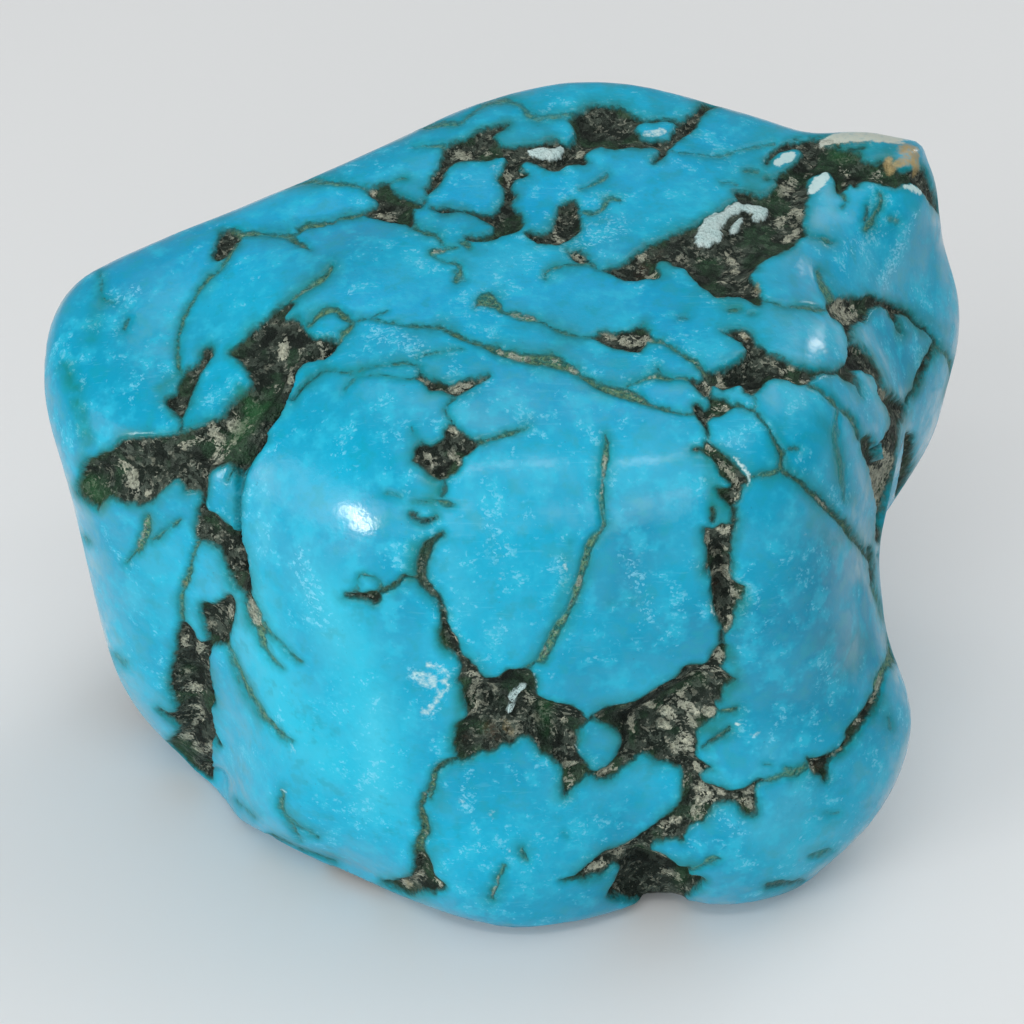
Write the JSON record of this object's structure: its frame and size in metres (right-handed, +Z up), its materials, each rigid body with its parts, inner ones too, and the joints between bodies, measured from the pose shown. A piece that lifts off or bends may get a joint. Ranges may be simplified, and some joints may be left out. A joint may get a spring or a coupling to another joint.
{
  "type": "turquoise nugget",
  "caption": "Tumbled natural turquoise nugget: a blocky polished stone with rounded lobes, dark recessed matrix veins and a worn flat underside.",
  "frame": {"origin": "middle of the stone's bounding box, at the level of the flat underside it rests on", "axes": "+Z up, +X along the stone's widest side, +Y from the boulder-shaped front to the back"},
  "size_m": [0.0466, 0.0348, 0.0322],
  "materials": {
    "turquoise": "polished stone with dull dark matrix in its veins"
  },
  "bodies": {
    "root": {"nugget": "turquoise"}
  },
  "joints": []
}
